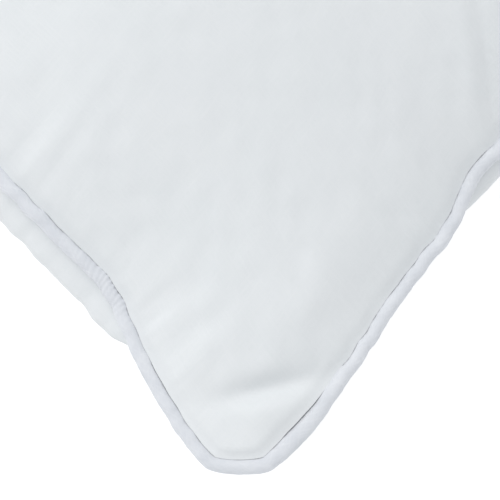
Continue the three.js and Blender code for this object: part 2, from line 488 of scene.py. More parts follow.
@dataclass(frozen=True)
class SideForm:
    """How one side of the seam leaves its straight line, from its two corners.

    Each list of steps adds up. Towards the middle the two corners' totals are mixed by a
    smooth step of the whole side.
    """

    drawn_first: tuple[Step, ...]
    drawn_last: tuple[Step, ...]
    lift_first: tuple[Step, ...] = ()
    lift_last: tuple[Step, ...] = ()
    sway: float = 1.2 * MM
    quiver: float = 0.35 * MM
    ends: float = 0.05
    seed: float = 0.0

    def drawn(self, distance: Array, side: float) -> Array:
        """How far the seam is drawn in, at a distance from the side's first corner."""
        pulled = self._mixed(self.drawn_first, self.drawn_last, distance, side)
        sway = self.sway * ripple(distance, 0.11, self.seed)
        quiver = self.quiver * ripple(distance, 0.019, self.seed + 8)
        return pulled + (sway + quiver) * self._within(distance, side)

    def lift(self, distance: Array, side: float) -> Array:
        """How far the seam is lifted, at a distance from the side's first corner."""
        raised = self._mixed(self.lift_first, self.lift_last, distance, side)
        sway = 1.6 * self.sway * ripple(distance, 0.17, self.seed + 4)
        return raised + sway * self._within(distance, side)

    @staticmethod
    def _mixed(
        first: tuple[Step, ...], last: tuple[Step, ...], distance: Array, side: float
    ) -> Array:
        """The first corner's steps and the last corner's, mixed along the side."""
        here = sum((step.at(distance) for step in first), np.zeros_like(distance))
        there = sum((step.at(side - distance) for step in last), np.zeros_like(distance))
        share = smoothstep(distance / side)
        return here * (1 - share) + there * share

    def _within(self, distance: Array, side: float) -> Array:
        """1 along the side, falling to 0 over its first and last stretch."""
        return smoothstep(distance / self.ends) * smoothstep((side - distance) / self.ends)


def ear(depth: float, run: float, start: float = 0.014) -> tuple[Step, ...]:
    """A plain ear: the side is drawn in by one step."""
    return (Step(start, run, depth),)


@dataclass
class SeamLine:
    """The line where the two panels meet, and the plan of the casing inside it."""

    half_length: float
    half_width: float
    height: float
    corner_leg: float = 13 * MM
    corner_power: float = 1.18
    samples: int = 4000
    smoothings: int = 5
    front: SideForm = field(default_factory=lambda: SideForm(
        drawn_first=ear(20 * MM, 0.12),
        drawn_last=(Step(0.014, 0.076, 15 * MM), Step(0.060, 0.032, 4.5 * MM)),
        lift_last=(Step(0.055, 0.11, 20 * MM),), seed=1.0, sway=0.3 * MM))
    right: SideForm = field(default_factory=lambda: SideForm(
        drawn_first=(Step(0.025, 0.105, 12.5 * MM), Step(0.118, 0.034, 10.6 * MM)),
        drawn_last=ear(20 * MM, 0.10), lift_first=(Step(0.11, 0.08, 11 * MM),), seed=2.0, sway=0.3 * MM))
    back: SideForm = field(default_factory=lambda: SideForm(
        drawn_first=ear(21 * MM, 0.10), drawn_last=ear(20 * MM, 0.13),
        lift_first=(Step(0.10, 0.10, 5 * MM),), seed=3.0, sway=2 * MM))
    left: SideForm = field(default_factory=lambda: SideForm(
        drawn_first=ear(20 * MM, 0.09), drawn_last=ear(21 * MM, 0.12), seed=5.0, sway=1.5 * MM))

    def squared(
        self, u: Array, v: Array, half_x: float, half_y: float, leg: float
    ) -> tuple[Array, Array]:
        """Plan of a rectangle with its corners sewn across.

        Within a leg of each corner, the square's rings become rings of constant power
        sum, which run nearly straight across the corner and are soft where they turn.

        Args:
            u: Place along the length, from -1 to 1.
            v: Place along the width, from -1 to 1.
            half_x: Half the rectangle's length.
            half_y: Half its width.
            leg: How far the corner is cut back along each side.

        Returns:
            The x and y of each place.
        """
        x, y = np.abs(u) * half_x, np.abs(v) * half_y
        a = np.clip((x - half_x + leg) / leg, 0, 1)
        b = np.clip((y - half_y + leg) / leg, 0, 1)
        size = (a**self.corner_power + b**self.corner_power) ** (1 / self.corner_power)
        pull = np.maximum(a, b) / np.maximum(size, 1e-9)
        within = (a > 0) & (b > 0)
        x = np.where(within, half_x - leg + a * pull * leg, x)
        y = np.where(within, half_y - leg + b * pull * leg, y)
        return np.sign(u) * x, np.sign(v) * y

    def place(self, u: Array, v: Array) -> Array:
        """The casing's middle surface: the plan, drawn in and lifted from each side.

        A side's pull fades with the cube of the way to the side opposite. On the
        seam itself the place is exact.

        Args:
            u: Place along the length, from -1 to 1.
            v: Place along the width, from -1 to 1.

        Returns:
            The places, with x, y and z last.
        """
        x, y = self.squared(u, v, self.half_length, self.half_width, self.corner_leg)
        along_x, along_y = (1 + u) * self.half_length, (1 + v) * self.half_width
        side_x, side_y = 2 * self.half_length, 2 * self.half_width
        near_front, near_back = ((1 - v) / 2) ** 3, ((1 + v) / 2) ** 3
        near_left, near_right = ((1 - u) / 2) ** 3, ((1 + u) / 2) ** 3
        y = y + near_front * self.front.drawn(along_x, side_x)
        y = y - near_back * self.back.drawn(along_x, side_x)
        x = x + near_left * self.left.drawn(along_y, side_y)
        x = x - near_right * self.right.drawn(along_y, side_y)
        z = self.height + near_front * self.front.lift(along_x, side_x)
        z = z + near_back * self.back.lift(along_x, side_x)
        z = z + near_left * self.left.lift(along_y, side_y)
        z = z + near_right * self.right.lift(along_y, side_y)
        return np.stack([x, y, z], -1)

    def trace(self) -> None:
        """Walk the seam once round in fine steps, counterclockwise from the front left."""
        coarse, fine, reach = 1 * MM, 0.3 * MM, 20 * MM
        along_x = graded(2 * self.half_length, coarse, fine, fine, reach)[:-1]
        along_y = graded(2 * self.half_width, coarse, fine, fine, reach)[:-1]
        ones_x, ones_y = np.ones_like(along_x), np.ones_like(along_y)
        u = np.concatenate([along_x, ones_y, -along_x, -ones_y])
        v = np.concatenate([-ones_x, along_y, ones_x, -along_y])
        points = self.place(u, v)
        gaps = np.linalg.norm(np.roll(points, -1, 0) - points, axis=-1)
        self.distance = np.concatenate([[0], np.cumsum(gaps)])
        self.corner = float(self.distance[len(along_x)])
        self.total = float(self.distance[-1])
        self.points = np.concatenate([points, points[:1]])
        even = np.linspace(0, self.total, self.samples + 1)
        line = np.stack([np.interp(even, self.distance, self.points[:, k]) for k in range(3)], -1)[:-1]
        ahead = np.roll(line, -1, 0) - np.roll(line, 1, 0)
        out = unit(np.stack([ahead[:, 1], -ahead[:, 0], np.zeros(len(line))], -1))
        for _ in range(self.smoothings):
            out = unit(np.roll(out, 1, 0) + 2 * out + np.roll(out, -1, 0))
        self.even, self.outward = even, np.concatenate([out, out[:1]])

    def at(self, distance: Array) -> tuple[Array, Array]:
        """Places on the seam, and the level direction out of the pillow at each.

        Args:
            distance: How far round the seam each place is, from the front left corner.

        Returns:
            The places, then the directions.
        """
        distance = np.mod(distance, self.total)
        points = [np.interp(distance, self.distance, self.points[:, k]) for k in range(3)]
        outward = [np.interp(distance, self.even, self.outward[:, k]) for k in range(3)]
        return np.stack(points, -1), unit(np.stack(outward, -1))

    def beside(self, distance: Array, out: Array | float, up: Array | float) -> Array:
        """Points that lie out from the seam and up from it, at distances round it."""
        points, outward = self.at(distance)
        reach = np.broadcast_to(out, distance.shape)[:, None]
        rise = np.broadcast_to(up, distance.shape)[:, None]
        return points + outward * reach + UP * rise

    def fine_steps(self, coarse: float, fine: float, reach: float) -> Array:
        """Distances once round the seam, closer together near the display corner."""
        before = (graded(self.corner, coarse, coarse, fine, reach)[:-1] + 1) / 2 * self.corner
        rest = self.total - self.corner
        after = (graded(rest, coarse, fine, coarse, reach)[:-1] + 1) / 2 * rest + self.corner
        return np.concatenate([before, after])


# ---- The casing --------------------------------------------------------------------------------


@dataclass(frozen=True)
class Dent:
    """A soft elongated hollow or ridge pressed into a panel, near the display corner.

    It is a bell along its length times a bell across it, turned in plan.
    """

    across: float
    up: float
    turn: float
    length: float
    width: float
    height: float

    def at(self, across: Array, up: Array) -> Array:
        """The dent's height at places given from the corner, across it and up from it."""
        cos, sin = math.cos(self.turn), math.sin(self.turn)
        dx, dy = across - self.across, up - self.up
        lengthwise = bell(dx * cos + dy * sin, self.length)
        return self.height * lengthwise * bell(dy * cos - dx * sin, self.width)


@dataclass(frozen=True)
class Gather:
    """One size of gather, which runs in from the seam and dies away.

    It is an uneven ripple along the seam times a bell of the way in from it.
    """

    height: float
    pitch: float
    depth: float
    spread: float

    def at(self, along: Array, depth: Array, seed: float) -> Array:
        """The gather's height at places along the seam and in from it."""
        return self.height * ripple(along, self.pitch, seed) * bell(depth - self.depth, self.spread)


@dataclass(frozen=True)
class ClothSettings:
    """How the cotton behaves while it is inflated."""

    tension: float = 40.0
    compression: float = 40.0
    shear: float = 8.0
    bending: float = 3.0
    damping: float = 8.0
    pressure: float = 24.0
    point_mass: float = 0.0002
    air_damping: float = 1.0
    quality: int = 7
    volume_share: float = 1.04
    gather: float = 0.08
    gather_reach: float = 0.06
    unrest: float = 0.6 * MM
    frames: int = 34
    most_move: float = 0.045


@dataclass(frozen=True)
class Bulge:
    """Where the lower panel swells out past the seam, along one side.

    It swells by a smooth step along the side, and with the way down from the seam by
    that way over its peak, times e to one less that same share.
    """

    start: float
    run: float
    size: float
    peak: float = 24 * MM

    def at(self, from_corner: Array, depth: Array) -> Array:
        """How far the panel swells out, along the side and down from the seam."""
        share = depth / self.peak
        return self.size * smoothstep((from_corner - self.start) / self.run) * share * np.exp(1 - share)


@dataclass
class Casing:
    """The two cotton panels, inflated inside the seam and laid on a flat surface."""

    seam: SeamLine
    crown_height: float
    flat_length: float = 0.660
    flat_width: float = 0.508
    allowance: float = 10 * MM
    cloth: float = 0.4 * MM
    cells_long: int = 82
    cells_wide: int = 64
    coarse: float = 4.2 * MM
    fine: float = 1.5 * MM
    fine_reach: float = 0.12
    fold_rise: float = 2.0 * MM
    fold_out: float = 0.60 * MM
    hem_rise: float = 0.95 * MM
    over_stitches: float = 2.0 * MM
    shoulder_run: float = 5 * MM
    crown_power: float = 2.4
    crown_fullness: float = 0.70
    crown_slant: float = 0.05
    softness: float = 5 * MM
    fine_gather: Gather = Gather(0.34 * MM, 9 * MM, 4 * MM, 9 * MM)
    broad_gather: Gather = Gather(0.62 * MM, 27 * MM, 14 * MM, 20 * MM)
    corner_gathering: float = 0.35
    corner_reach: float = 0.07
    cotton: ClothSettings = ClothSettings()
    front_bulge: Bulge = Bulge(0.036, 0.050, 31 * MM)
    right_bulge: Bulge = Bulge(0.100, 0.050, 26 * MM)
    dents: tuple[Dent, ...] = (
        Dent(12 * MM, 26.5 * MM, math.radians(14), 12 * MM, 3.2 * MM, -4.8 * MM),
        Dent(13 * MM, 17 * MM, math.radians(18), 10 * MM, 5.0 * MM, 2.2 * MM),
        Dent(-14 * MM, 38 * MM, math.radians(38), 13 * MM, 5 * MM, 1.2 * MM),
        Dent(93 * MM, 145 * MM, math.radians(100), 17 * MM, 2.0 * MM, -1.8 * MM),
        Dent(88 * MM, 144 * MM, math.radians(100), 18 * MM, 3.0 * MM, 1.3 * MM),
        Dent(26 * MM, 58 * MM, math.radians(56), 22 * MM, 7.5 * MM, 2.6 * MM),
        Dent(-76 * MM, 129 * MM, math.radians(62), 12 * MM, 6.0 * MM, -1.6 * MM),
    )

    def crown(self, u: Array, v: Array) -> Array:
        """Share of the crown: each way, 1 less the place to a power, both to a power.

        A small share is added before that last power and taken off again after it, so
        that the cloth leaves the seam at a slant and not upright.

        Args:
            u: Place along the length, from -1 to 1.
            v: Place along the width, from -1 to 1.

        Returns:
            The share, from 0 on the seam to 1 in the middle.
        """
        power, slant, fullness = self.crown_power, self.crown_slant, self.crown_fullness
        hump = np.clip((1 - np.abs(u) ** power) * (1 - np.abs(v) ** power), 0, 1)
        low, high = slant**fullness, (1 + slant) ** fullness
        return ((hump + slant) ** fullness - low) / (high - low)

    def start(self, u: Array, v: Array, side: Side) -> Array:
        """A panel's shape before it is inflated.

        It is the middle surface, plus the fold's rise, plus the root of the crown squared
        and a shoulder squared, which clears the stitched edges. The lower panel swells
        out past the seam on two sides.

        Args:
            u: Place along the length, from -1 to 1.
            v: Place along the width, from -1 to 1.
            side: Which panel it is.

        Returns:
            The panel's points.
        """
        shape = self.seam.place(u, v)
        length, width = self.seam.half_length, self.seam.half_width
        shoulder = self.over_stitches * smoothstep(self.depth(u, v) / self.shoulder_run)
        height = (self.crown_height - self.fold_rise) * self.crown(u, v)
        shape[..., 2] += side.value * (self.fold_rise + np.hypot(height, shoulder))
        if side is Side.BOTTOM:
            from_tip_x, from_tip_y = (1 - u) * length, (1 + v) * width
            fade_x, fade_y = smoothstep((1 + u) * 1.4), smoothstep((1 - v) * 1.4)
            shape[..., 1] -= fade_x * self.front_bulge.at(from_tip_x, from_tip_y)
            shape[..., 0] += fade_y * self.right_bulge.at(from_tip_y, from_tip_x)
        return shape

    def depth(self, u: Array, v: Array) -> Array:
        """How far a place is from the nearest side of the seam, in plan."""
        from_end = (1 - np.abs(u)) * self.seam.half_length
        from_side = (1 - np.abs(v)) * self.seam.half_width
        return np.minimum(from_end, from_side)

    def flat(self, u: Array, v: Array) -> Array:
        """A panel as it was cut, flat."""
        leg = self.seam.corner_leg
        x, y = self.seam.squared(u, v, self.flat_length / 2, self.flat_width / 2, leg)
        return np.stack([x, y, np.zeros_like(x)], -1)

    def inflate(self) -> dict[Side, Array]:
        """Inflate both panels together as cloth, held along the seam.

        The springs' rest lengths are the start shape's with its edge let out, so that
        the cloth gathers along the seam, which draws it in. Each point's move is capped.

        Returns:
            How far each panel's grid of points moved from its start.
        """
        shape = (self.cells_long + 1, self.cells_wide + 1)
        lines_u, lines_v = np.linspace(-1, 1, shape[0]), np.linspace(-1, 1, shape[1])
        u, v = np.meshgrid(lines_u, lines_v, indexing="ij")
        inner = np.zeros(shape, bool)
        inner[1:-1, 1:-1] = True
        top_index = np.arange(u.size).reshape(shape)
        low_index = top_index.copy()
        low_index[inner] = u.size + np.arange(inner.sum())
        start = {side: self.start(u, v, side) for side in Side}
        unrest = self._unrest(u, v)
        for side in Side:
            start[side][..., 2] += np.where(inner, unrest * side.value, 0)
        let_out = 1 + self.cotton.gather * np.exp(-self.depth(u, v) / self.cotton.gather_reach)
        let_out = np.stack([let_out, let_out, np.ones_like(u)], -1)
        points = np.concatenate([start[Side.TOP].reshape(-1, 3), start[Side.BOTTOM][inner]])
        eased = {side: start[side] * let_out for side in Side}
        rest = np.concatenate([eased[Side.TOP].reshape(-1, 3), eased[Side.BOTTOM][inner]])
        faces = np.concatenate([grid_faces(top_index), grid_faces(low_index, flip=True)])
        settled = self._simulate(points, rest, faces, np.flatnonzero(~inner))
        moved = {}
        middle = self.seam.place(u, v)[..., 2]
        for side, index in ((Side.TOP, top_index), (Side.BOTTOM, low_index)):
            shape = settled[index]
            rise = shape[..., 2] - middle
            shape[..., 2] = middle + rise * min(1.0, self.crown_height / np.abs(rise).max())
            move = shape - self.start(u, v, side)
            far = np.linalg.norm(move, axis=-1, keepdims=True)
            move *= np.minimum(1, self.cotton.most_move / np.maximum(far, 1e-9))
            moved[side] = np.where(inner[..., None], move, 0)
        return moved

    def _unrest(self, u: Array, v: Array) -> Array:
        """A slight unevenness near the seam, which lets the cloth choose where to fold."""
        across = ripple(u * self.flat_length, 0.07, 1.3) * ripple(v * self.flat_width, 0.09, 2.9)
        uneven = across + 0.6 * ripple((u + v) * self.flat_length, 0.05, 0.4)
        return self.cotton.unrest * uneven * np.exp(-self.depth(u, v) / self.cotton.gather_reach)

    def _simulate(self, points: Array, rest: Array, faces: Array, held: Array) -> Array:
        """Run the cloth and return where its points end.

        Args:
            points: Where each point starts.
            rest: Where each point is in the shape whose lengths the cloth keeps.
            faces: The squares of both panels.
            held: The numbers of the points on the seam, which don't move.

        Returns:
            Where each point ends.
        """
        obj = make_mesh("inflating", rest, faces)
        eased = obj.shape_key_add(name="eased")
        filled = obj.shape_key_add(name="filled")
        filled.data.foreach_set("co", points.astype(np.float32).ravel())
        filled.value = 1.0
        group = obj.vertex_groups.new(name="seam")
        group.add(held.tolist(), 1.0, "REPLACE")
        cloth = obj.modifiers.new("cloth", "CLOTH")
        settings = cloth.settings
        settings.rest_shape_key = eased
        settings.vertex_group_mass = "seam"
        cotton = self.cotton
        settings.quality = cotton.quality
        settings.mass = cotton.point_mass
        settings.air_damping = cotton.air_damping
        settings.tension_stiffness = cotton.tension
        settings.compression_stiffness = cotton.compression
        settings.shear_stiffness = cotton.shear
        settings.bending_stiffness = cotton.bending
        settings.tension_damping = settings.compression_damping = cotton.damping
        settings.shear_damping = cotton.damping
        settings.use_pressure = True
        settings.uniform_pressure_force = 0.0
        settings.pressure_factor = cotton.pressure
        settings.use_pressure_volume = True
        settings.target_volume = self._volume(points, faces) * cotton.volume_share
        settings.effector_weights.gravity = 0.0
        cloth.point_cache.frame_start = 1
        cloth.point_cache.frame_end = cotton.frames
        scene = bpy.context.scene
        for number in range(1, cotton.frames + 1):
            scene.frame_set(number)
        settled = np.zeros(len(points) * 3, np.float32)
        evaluated = obj.evaluated_get(bpy.context.evaluated_depsgraph_get())
        evaluated.data.vertices.foreach_get("co", settled)
        scene.frame_set(1)
        bpy.data.objects.remove(obj)
        return settled.reshape(-1, 3).astype(float)

    @staticmethod
    def _volume(points: Array, faces: Array) -> float:
        """Volume inside closed squares: a sixth of the sum of their corner products."""
        a, b, c, d = (points[faces[:, k]] for k in range(4))
        halves = np.einsum("ij,ij", a, np.cross(b, c)) + np.einsum("ij,ij", a, np.cross(c, d))
        return float(halves / 6)

    def surface(self, u: Array, v: Array, side: Side, moved: Array) -> Array:
        """A panel's finished surface on lines of u by lines of v.

        It is the start shape, plus the cloth's move interpolated by cubics, plus the
        puckers and dents, and the bottom is pressed flat where it lies.

        Args:
            u: The lines along the length.
            v: The lines along the width.
            side: Which panel it is.
            moved: The cloth's moves on its own grid.

        Returns:
            The points, in rows and columns.
        """
        grid_u, grid_v = np.meshgrid(u, v, indexing="ij")
        weights_u = spline_weights(moved.shape[0], u)
        weights_v = spline_weights(moved.shape[1], v)
        shape = self.start(grid_u, grid_v, side)
        shape += np.einsum("ai,ijk,bj->abk", weights_u, moved, weights_v)
        shape += side.value * self.normals(shape) * self.puckers(grid_u, grid_v, side)[..., None]
        if side is Side.TOP:
            shape[..., 2] += self._dented(shape)
            return shape
        return self._laid(shape)

    @staticmethod
    def normals(shape: Array) -> Array:
        """Upward normals of a grid: the cross product of its two gradients."""
        return unit(np.cross(np.gradient(shape, axis=0), np.gradient(shape, axis=1)))

    def puckers(self, u: Array, v: Array, side: Side) -> Array:
        """Small gathers that run in from the seam and die away.

        Each side's gathers are an uneven ripple along it, which grows over the first
        millimetres from the seam and then fades by a bell.

        Args:
            u: Place along the length.
            v: Place along the width.
            side: Which panel it is.

        Returns:
            The height of the gathers along the normal.
        """
        x, y = u * self.flat_length / 2, v * self.flat_width / 2
        total = np.zeros_like(u)
        edges = ((1 - u, self.flat_length / 2, y), (1 + u, self.flat_length / 2, y),
                 (1 - v, self.flat_width / 2, x), (1 + v, self.flat_width / 2, x))
        for number, (share, half, along) in enumerate(edges):
            depth = share * half
            seed = 1.7 * number + side.value
            lean = along + 0.25 * depth * ripple(along, 0.2, seed + 9)
            fine = self.fine_gather.at(lean, depth, seed)
            broad = self.broad_gather.at(lean, depth, seed + 3)
            uneven = 0.55 + 0.45 * ripple(along, 0.13, seed + 6)
            total += (fine + broad) * uneven * smoothstep(depth / self.shoulder_run)
        return total * self._clear_of_tip(u, v)

    def _clear_of_tip(self, u: Array, v: Array) -> Array:
        """Less gathering right in the corners, where the cloth lies nearly flat."""
        from_end = (1 - np.abs(u)) * self.flat_length / 2
        from_side = (1 - np.abs(v)) * self.flat_width / 2
        away = smoothstep(np.hypot(from_end, from_side) / self.corner_reach)
        return self.corner_gathering + (1 - self.corner_gathering) * away

    def _dented(self, shape: Array) -> Array:
        """The dents' total height over each point of the top panel."""
        tip = self.seam.place(np.array(1.0), np.array(-1.0))
        dx, dy = shape[..., 0] - tip[0], shape[..., 1] - tip[1]
        across, up = (dx + dy) / math.sqrt(2), (dy - dx) / math.sqrt(2)
        return sum(dent.at(across, up) for dent in self.dents)

    def _laid(self, shape: Array) -> Array:
        """The bottom panel pressed on to the surface it lies on, softly at the edge.

        The height becomes the mean of itself and the root of its square plus a small
        square, which is itself well above the surface and nothing below it.
        """
        z = shape[..., 2]
        shape[..., 2] = (z + np.sqrt(z**2 + self.softness**2)) / 2
        return shape

    def build(self, moved: dict[Side, Array]) -> dict[Side, bpy.types.Object]:
        """Build both panels, each with its allowance turned in behind the seam.

        Args:
            moved: The cloth's moves on each panel.

        Returns:
            The finished panels.
        """
        reach = self.fine_reach
        u = graded(self.flat_length, self.coarse, self.coarse, self.fine, reach)
        v = graded(self.flat_width, self.coarse, self.fine, self.coarse, reach)
        return {side: self._panel(u, v, side, moved[side]) for side in Side}

    def _panel(self, u: Array, v: Array, side: Side, moved: Array) -> bpy.types.Object:
        """One panel: its surface, a turned-in strip along its edge, and its thickness."""
        shape = self.surface(u, v, side, moved)
        rows, columns = shape.shape[:2]
        grid_u, grid_v = np.meshgrid(u, v, indexing="ij")
        index = np.arange(rows * columns).reshape(rows, columns)
        rim = np.concatenate([index[:-1, 0], index[-1, :-1], index[:0:-1, -1], index[0, :0:-1]])
        edge = shape.reshape(-1, 3)[rim]
        ahead = np.roll(edge, -1, 0) - np.roll(edge, 1, 0)
        inward = -unit(np.stack([ahead[:, 1], -ahead[:, 0], np.zeros(len(edge))], -1))
        hem = edge + inward * self.allowance + UP * side.value * (self.hem_rise - self.fold_rise)
        shape = shape.reshape(-1, 3)
        shape[rim] -= inward * self.fold_out
        points = np.concatenate([shape, hem])
        hem_index = rows * columns + np.arange(len(rim))
        band = np.stack([np.append(rim, rim[0]), np.append(hem_index, hem_index[0])], 1)
        flip = side is Side.BOTTOM
        faces = np.concatenate([grid_faces(index, flip), grid_faces(band, not flip)])
        cut = self.flat(grid_u, grid_v).reshape(-1, 3)[:, :2]
        cut = cut + (self.flat_length / 2, self.flat_width / 2)
        uv = np.concatenate([cut, cut[rim] * 0.98])
        name = "casing_top" if side is Side.TOP else "casing_bottom"
        panel = make_mesh(name, points, faces, uv)
        self._crease(panel, rim)
        thicken(panel, self.cloth, -1)
        return panel

    @staticmethod
    def _crease(panel: bpy.types.Object, rim: Array) -> None:
        """Mark the fold along the seam as sharp, so that no shading runs round it."""
        ends = np.empty(len(panel.data.edges) * 2, np.int32)
        panel.data.edges.foreach_get("vertices", ends)
        on_fold = np.isin(ends.reshape(-1, 2), rim).all(1)
        panel.data.edges.foreach_set("use_edge_sharp", on_fold)

    def dress(self, panels: dict[Side, bpy.types.Object]) -> None:
        """Give both panels their cotton, body and place in the frame."""
        cotton = CASING_COTTON.material()
        for side, node in ((Side.TOP, "top_panel"), (Side.BOTTOM, "bottom_panel")):
            settle(panels[side], cotton, node)


# ---- The piping ----------------------------------------------------------------------------------


@dataclass
class Piping:
    """The bias strip folded round its cord, and the cord."""

    seam: SeamLine
    radius: float
    allowance: float = 10 * MM
    strip: float = 0.4 * MM
    flange_gap: float = 0.12 * MM
    loose: float = 0.36
    loose_from_corner: float = 24 * MM
    loose_spread: float = 11 * MM
    gathers: float = 0.045
    gather_pitch: float = 2.3 * MM
    gathers_from_corner: float = 87 * MM
    gathers_spread: float = 11 * MM
    coarse: float = 2.2 * MM
    fine: float = 0.5 * MM
    fine_reach: float = 0.13
    round_sides: int = 22
    flange_sides: int = 3
    plies: int = 3
    ply_pitch: float = 14 * MM
    ply_sides: int = 7
    cord_rows: int = 1500
    cord_clear: float = 0.3 * MM

    def build(self) -> tuple[bpy.types.Object, bpy.types.Object]:
        """Build the cover and the cord.

        Returns:
            The cover, then the cord.
        """
        return self._cover(), self._cord()

    def _cover(self) -> bpy.types.Object:
        """The strip: level flanges joined by nearly a whole circle, puckered.

        Just past the display corner it stands off the cord on the outside of the turn.

        Returns:
            The strip as a closed sheet with thickness.
        """
        along = self.seam.fine_steps(self.coarse, self.fine, self.fine_reach)
        points, out = self.seam.at(along)
        meet = math.asin(self.flange_gap / self.radius)
        angle = np.linspace(math.pi - meet, meet - math.pi, self.round_sides + 1)
        flange = np.linspace(-self.allowance, -0.8 * MM, self.flange_sides)
        flat = np.zeros(len(flange))
        reach = np.concatenate([flange, self.radius * (1 + np.cos(angle)), flange[::-1]])
        wall = self.radius * np.sin(angle)
        rise = np.concatenate([flat + self.flange_gap, wall, flat - self.flange_gap])
        round_part = np.concatenate([flat, np.ones(len(angle)), flat])
        swell = self._swell(along, np.concatenate([flat, angle, flat])) * round_part
        past_corner = along - self.seam.corner - self.loose_from_corner
        off_cord = self.loose * bell(past_corner, self.loose_spread)[:, None]
        outer = np.maximum(reach - self.radius / 2, 0)
        grown_out = reach + swell * (reach - self.radius) + off_cord * outer
        grown_up = rise * (1 + swell)
        shape = points[:, None] + out[:, None] * grown_out[..., None] + UP * grown_up[..., None]
        rows, columns = shape.shape[:2]
        index = np.arange(rows * columns).reshape(rows, columns)
        faces = grid_faces(np.concatenate([index, index[:1]], 0))
        strip_width = np.linspace(0, 2 * self.allowance + TAU * self.radius, columns)
        uv = np.stack(np.broadcast_arrays(along[:, None], strip_width[None]), -1).reshape(-1, 2)
        cover = make_mesh("piping_strip", shape.reshape(-1, 3), faces, uv)
        thicken(cover, self.strip, 1)
        return cover

    def _swell(self, along: Array, angle: Array) -> Array:
        """How much the strip stands off the cord: bias puckers that run aslant.

        The puckers are an uneven ripple along the seam, leaning with the way round the
        cord. They gather tightly on one stretch of the front side.

        Args:
            along: The distance round the seam of each row.
            angle: The way round the cord of each column.

        Returns:
            The swelling, as a share of the radius.
        """
        lean = along[:, None] + 1.1 * MM * angle[None]
        soft = 0.045 * ripple(lean, 11 * MM, 0.7) + 0.02 * ripple(lean, 4.3 * MM, 2.1)
        to_corner = self.seam.corner - along[:, None]
        gathered = bell(to_corner - self.gathers_from_corner, self.gathers_spread)
        drift = 0.8 * np.sin(TAU * lean / (17 * MM))
        tight = self.gathers * np.sin(TAU * lean / self.gather_pitch + drift)
        return soft + gathered * tight

    def _cord(self) -> bpy.types.Object:
        """The cord: plies wound round its centre line a whole number of turns."""
        along = np.linspace(0, self.seam.total, self.cord_rows, endpoint=False)
        points, out = self.seam.at(along)
        turns = round(self.seam.total / self.ply_pitch)
        inner = self.radius - self.strip - self.cord_clear
        ply_radius = inner / 2
        up = np.broadcast_to(UP, out.shape)
        strands, faces = [], []
        sides = self.ply_sides
        for ply in range(self.plies):
            turn = TAU * (turns * along / self.seam.total + ply / self.plies)
            wind = np.cos(turn)[:, None] * out + np.sin(turn)[:, None] * up
            centre = points + out * self.radius + wind * (inner - ply_radius)
            strands.append(closed_tube(centre, out, up, ply_radius, sides))
            faces.append(tube_faces(len(points), sides)[:, ::-1] + ply * len(points) * sides)
        return make_mesh("piping_twine", np.concatenate(strands), np.concatenate(faces))

    def dress(self, cover: bpy.types.Object, cord: bpy.types.Object) -> None:
        """Give the strip and the cord their finishes, body and place in the frame."""
        settle(cover, PIPING_COTTON.material(), "piping_cover")
        settle(cord, TWINE.material(), "piping_cord")


# ---- The threads -----------------------------------------------------------------------------------


